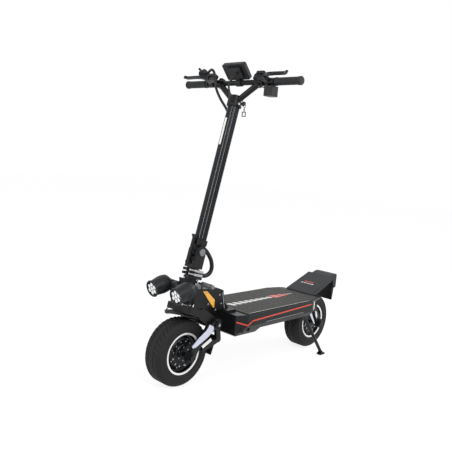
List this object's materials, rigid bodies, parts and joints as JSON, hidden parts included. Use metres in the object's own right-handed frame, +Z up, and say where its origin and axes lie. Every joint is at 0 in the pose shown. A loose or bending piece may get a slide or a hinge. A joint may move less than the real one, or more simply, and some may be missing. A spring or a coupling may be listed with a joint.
{
  "type": "electric kick scooter",
  "caption": "Folding electric kick scooter with hub motors, link-arm suspension, V riser, headlights, footrest and side stand.",
  "frame": {"origin": "on the ground below the middle of the overall length and width", "axes": "+X forward, +Y to the rider's left, +Z up"},
  "size_m": [1.2, 0.64, 1.3256],
  "materials": {
    "black_casting": "cast aluminium with satin black powder coat",
    "black_extrusion": "black anodised extrusion",
    "bare_steel": "turned steel",
    "lever_silver": "satin silver anodised",
    "grip_mat_rubber": "ribbed dark grey rubber",
    "grip_rubber": "soft black rubber",
    "tread_rubber": "tyre rubber",
    "stripe_red": "red vinyl film",
    "amber_plastic": "amber prism reflector",
    "lamp_red": "dark red lamp cover",
    "black_plastic": "moulded black plastic",
    "cell_wrap": "shrink-wrapped cells",
    "lens_clear": "clear lens",
    "damper_grey": "grey anodised",
    "cable_rubber": "black sheath",
    "button_grey": "grey plastic",
    "button_red": "red plastic",
    "caliper_grey": "grey cast aluminium",
    "flap_rubber": "black sheet rubber",
    "lock_chrome": "chrome plate"
  },
  "bodies": {
    "chassis": {"deck_case": "black_casting", "deck_plate": "black_extrusion", "grip_mat": "grip_mat_rubber", "side_stripes": "stripe_red", "battery_pack": "cell_wrap", "charge_sockets": "black_plastic", "neck": "black_casting", "headset_bearings": "bare_steel", "side_reflectors": "amber_plastic", "damper_cylinder": "damper_grey", "footrest": "black_casting", "rear_lamp": "lamp_red", "rear_mudguard": "flap_rubber", "kickstand_bracket": "black_casting", "rear_pivot_pin": "bare_steel"},
    "steering": {"steerer": "bare_steel", "fork": "black_casting", "headlight_bar": "black_extrusion", "headlights": "black_plastic", "headlight_lenses": "lens_clear", "front_fender": "black_plastic", "fold_base": "black_casting", "fold_pin": "bare_steel", "clamp_collars": "black_extrusion", "front_pivot_pin": "bare_steel", "fold_conduit": "cable_rubber"},
    "stem": {"stem_knuckle": "black_casting", "stem_tube": "black_extrusion", "bar_riser": "black_casting", "handlebar": "black_extrusion", "grips": "grip_rubber", "brake_masters": "black_extrusion", "throttle_body": "black_plastic", "display": "black_plastic", "switch_box": "black_plastic", "key_switch": "lock_chrome", "bar_cables": "cable_rubber"},
    "front_link": {"front_arm": "black_casting", "front_axle_set": "bare_steel", "front_flap": "flap_rubber", "front_caliper": "caliper_grey"},
    "rear_link": {"rear_arm": "black_casting", "rear_axle_set": "bare_steel", "rear_caliper": "caliper_grey"},
    "front_wheel": {"front_tyre": "tread_rubber", "front_hub": "black_extrusion"},
    "rear_wheel": {"rear_tyre": "tread_rubber", "rear_hub": "black_extrusion"},
    "damper_rod": {"damper_rod": "lock_chrome"},
    "upper_lever": {"upper_lever": "lever_silver"},
    "lower_lever": {"lower_lever": "lever_silver"},
    "fold_latch": {"fold_latch": "black_casting"},
    "left_brake_lever": {"left_brake_lever": "black_extrusion"},
    "right_brake_lever": {"right_brake_lever": "black_extrusion"},
    "throttle_trigger": {"throttle_trigger": "black_plastic"},
    "horn_button": {"horn_button": "button_grey"},
    "light_button": {"light_button": "button_red"},
    "key": {"key": "black_plastic"},
    "key_tag": {"key_tag": "black_plastic"},
    "kickstand": {"kickstand": "black_extrusion"}
  },
  "joints": [
    {"name": "steer", "type": "hinge", "parent": "chassis", "child": "steering", "pos_m": [0.43344, 0, 0.36966], "axis": [-0.2317, 0, 0.9728], "range_deg": [-25, 25]},
    {"name": "damper_rod_slide", "type": "slide", "parent": "chassis", "child": "damper_rod", "axis": [0, 1, 0], "range_m": [-0.0205, 0.0205]},
    {"name": "upper_lever_cam", "type": "hinge", "parent": "steering", "child": "upper_lever", "pos_m": [0.44401, 0.024, 0.48063], "axis": [0.2317, 0, -0.9728], "range_deg": [0, 90]},
    {"name": "lower_lever_cam", "type": "hinge", "parent": "steering", "child": "lower_lever", "pos_m": [0.44771, 0.024, 0.46506], "axis": [0.2317, 0, -0.9728], "range_deg": [0, 90]},
    {"name": "fold_latch_hook", "type": "hinge", "parent": "steering", "child": "fold_latch", "pos_m": [0.43935, 0, 0.50881], "axis": [0, 1, 0], "range_deg": [0, 25]},
    {"name": "fold", "type": "hinge", "parent": "steering", "child": "stem", "pos_m": [0.39103, 0, 0.54767], "axis": [0, -1, 0], "range_deg": [0, 82], "deforming": ["fold_conduit"]},
    {"name": "left_brake", "type": "hinge", "parent": "stem", "child": "left_brake_lever", "pos_m": [0.26019, 0.16, 1.26595], "axis": [-0.4226, 0, 0.9063], "range_deg": [0, 12], "stiffness_Nm_per_rad": 1, "springref_deg": -8.59},
    {"name": "right_brake", "type": "hinge", "parent": "stem", "child": "right_brake_lever", "pos_m": [0.26019, -0.16, 1.26595], "axis": [0.4226, 0, -0.9063], "range_deg": [0, 12], "stiffness_Nm_per_rad": 1, "springref_deg": -8.59},
    {"name": "throttle", "type": "hinge", "parent": "stem", "child": "throttle_trigger", "pos_m": [0.24253, -0.2, 1.29126], "axis": [0.8829, 0, -0.4695], "range_deg": [0, 25], "stiffness_Nm_per_rad": 0.3, "springref_deg": -11.46},
    {"name": "horn_press", "type": "slide", "parent": "stem", "child": "horn_button", "axis": [1, 0, 0], "range_m": [0, 0.002], "stiffness_N_per_m": 300, "springref_m": -0.001},
    {"name": "light_press", "type": "slide", "parent": "stem", "child": "light_button", "axis": [1, 0, 0], "range_m": [0, 0.002], "stiffness_N_per_m": 300, "springref_m": -0.001},
    {"name": "key_turn", "type": "hinge", "parent": "stem", "child": "key", "pos_m": [0.2472, 0.0365, 1.16001], "axis": [0, 1, 0], "range_deg": [0, 60]},
    {"name": "key_tag_swing", "type": "hinge", "parent": "key", "child": "key_tag", "pos_m": [0.2472, 0.0585, 1.16001], "axis": [1, 0, 0], "range_deg": [-15, 60]},
    {"name": "front_link_swing", "type": "hinge", "parent": "steering", "child": "front_link", "pos_m": [0.322, 0, 0.25], "axis": [0, -1, 0], "range_deg": [-6, 5], "stiffness_Nm_per_rad": 350, "springref_deg": -6.88},
    {"name": "rear_link_swing", "type": "hinge", "parent": "chassis", "child": "rear_link", "pos_m": [-0.3, 0, 0.243], "axis": [0, 1, 0], "range_deg": [-6, 6], "stiffness_Nm_per_rad": 350, "springref_deg": -6.88},
    {"name": "front_wheel_spin", "type": "hinge", "parent": "front_link", "child": "front_wheel", "pos_m": [0.462, 0, 0.138], "axis": [0, 1, 0], "continuous": true},
    {"name": "rear_wheel_spin", "type": "hinge", "parent": "rear_link", "child": "rear_wheel", "pos_m": [-0.438, 0, 0.138], "axis": [0, 1, 0], "continuous": true},
    {"name": "kickstand_swing", "type": "hinge", "parent": "chassis", "child": "kickstand", "pos_m": [-0.268, 0.104, 0.204], "axis": [0, 1, 0], "range_deg": [0, 55]}
  ],
  "couplings": [
    {"joint": "damper_rod_slide", "follows": "steer", "m_per_rad": -0.0455}
  ]
}
